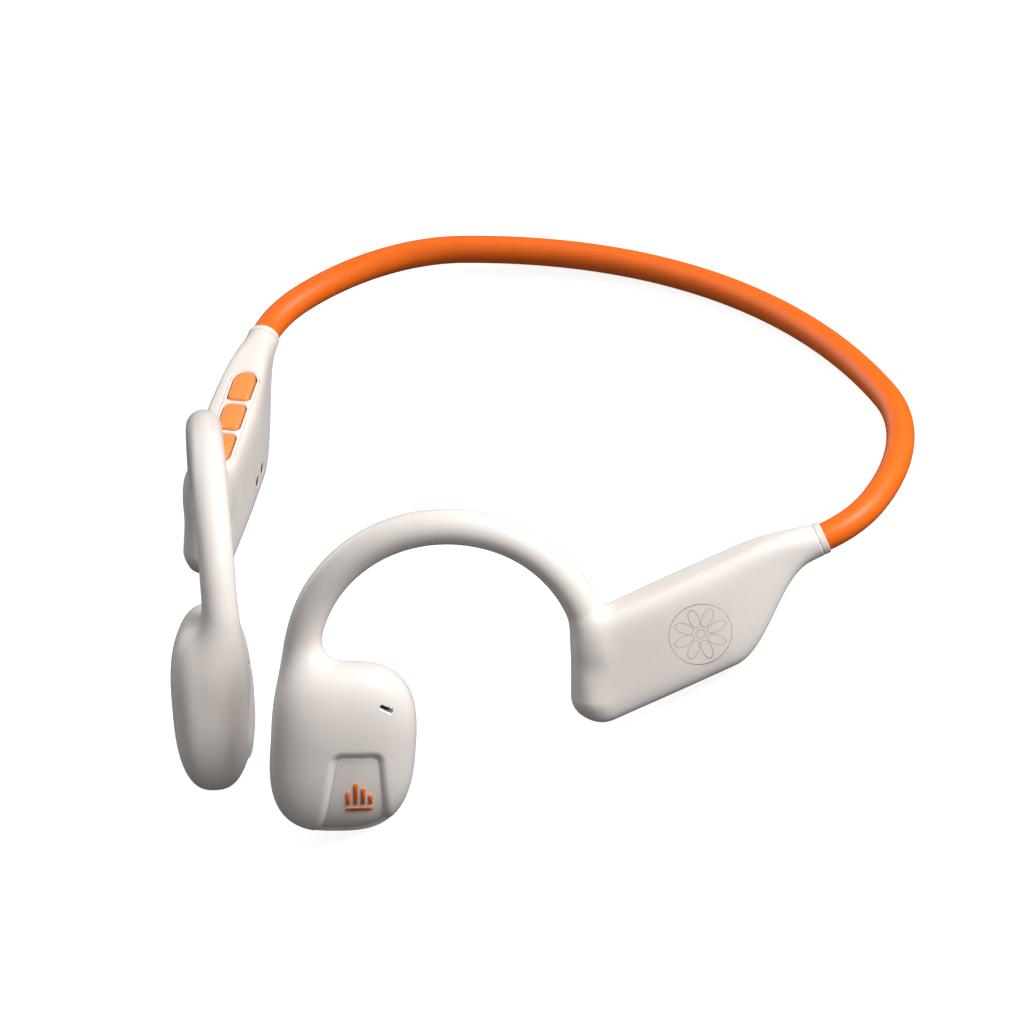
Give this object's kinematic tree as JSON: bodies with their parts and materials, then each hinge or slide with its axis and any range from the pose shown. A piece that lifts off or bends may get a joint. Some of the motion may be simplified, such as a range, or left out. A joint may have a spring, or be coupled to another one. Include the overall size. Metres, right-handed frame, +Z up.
{
  "type": "bone conduction headphones",
  "caption": "Open-ear bone conduction headphones: an orange sprung neckband, cream pods with buttons, arched ear hooks and rounded speaker housings with contact pads.",
  "frame": {"origin": "bottom centre of the bounding box: the headset lies on a table on the back of its band and on both speaker housings", "axes": "+X towards the wearer's left, across the head; -Y forward, towards the wearer's face; +Z up; mirror plane YZ, except for the buttons, which are on the right pod only"},
  "size_m": [0.13, 0.1138, 0.0404],
  "materials": {
    "orange_silicone": "satin",
    "spring_wire": "drawn",
    "lead": "matt",
    "cream_shell": "satin",
    "cream_silicone": "satin",
    "steel": "plated",
    "panel": "satin",
    "emblem": "gloss",
    "mesh": "matt",
    "microphone": "plated",
    "magnet": "nickel plated",
    "copper": "enamelled",
    "pad_silicone": "matt",
    "orange_button": "satin",
    "membrane": "matt",
    "board": "solder mask",
    "black_module": "matt",
    "gold": "plated",
    "battery_can": "foil"
  },
  "bodies": {
    "headset": {"neckband_sleeve": "orange_silicone", "neckband_wire": "spring_wire", "neckband_lead": "lead", "band_socket_left": "cream_shell", "band_socket_right": "cream_shell", "pod_shell_left": "cream_shell", "pod_shell_right": "cream_shell", "pod_cover_left": "cream_shell", "pod_cover_right": "cream_shell", "wire_ferrules_left": "steel", "wire_ferrules_right": "steel", "hook_sleeve_left": "cream_silicone", "hook_sleeve_right": "cream_silicone", "hook_wire_left": "spring_wire", "hook_wire_right": "spring_wire", "hook_lead_left": "lead", "hook_lead_right": "lead", "speaker_shell_left": "cream_shell", "speaker_shell_right": "cream_shell", "speaker_cover_left": "cream_shell", "speaker_cover_right": "cream_shell", "accent_panel_left": "panel", "accent_panel_right": "panel", "emblem_left": "emblem", "emblem_right": "emblem", "mic_mesh_left": "mesh", "mic_mesh_right": "mesh", "microphone_left": "microphone", "microphone_right": "microphone", "yoke_left": "steel", "yoke_right": "steel", "magnet_left": "magnet", "magnet_right": "magnet", "pole_plate_left": "steel", "pole_plate_right": "steel", "button_bezel": "cream_shell", "key_membrane": "membrane", "key_switches": "steel", "main_board": "board", "radio_module": "black_module", "charging_pins": "gold", "charging_magnets": "magnet", "battery_cell": "battery_can", "battery_board": "board"},
    "rear_button": {"button_rear": "orange_button"},
    "middle_button": {"button_middle": "orange_button"},
    "front_button": {"button_front": "orange_button"},
    "left_pad": {"contact_pad_left": "pad_silicone", "spring_plate_left": "steel", "voice_coil_left": "copper"},
    "right_pad": {"contact_pad_right": "pad_silicone", "spring_plate_right": "steel", "voice_coil_right": "copper"}
  },
  "joints": [
    {"name": "rear_button_press", "type": "slide", "parent": "headset", "child": "rear_button", "axis": [-0.2084, -0.255, -0.9442], "range_m": [0, 0.0003], "stiffness_N_per_m": 5000},
    {"name": "middle_button_press", "type": "slide", "parent": "headset", "child": "middle_button", "axis": [-0.2084, -0.255, -0.9442], "range_m": [0, 0.0003], "stiffness_N_per_m": 5000},
    {"name": "front_button_press", "type": "slide", "parent": "headset", "child": "front_button", "axis": [-0.2084, -0.255, -0.9442], "range_m": [0, 0.0003], "stiffness_N_per_m": 5000},
    {"name": "left_pad_vibrate", "type": "slide", "parent": "headset", "child": "left_pad", "axis": [0.7543, -0.5866, 0.2948], "range_m": [-0.0001, 0.0001], "stiffness_N_per_m": 15000},
    {"name": "right_pad_vibrate", "type": "slide", "parent": "headset", "child": "right_pad", "axis": [-0.7543, -0.5866, 0.2948], "range_m": [-0.0001, 0.0001], "stiffness_N_per_m": 15000}
  ]
}
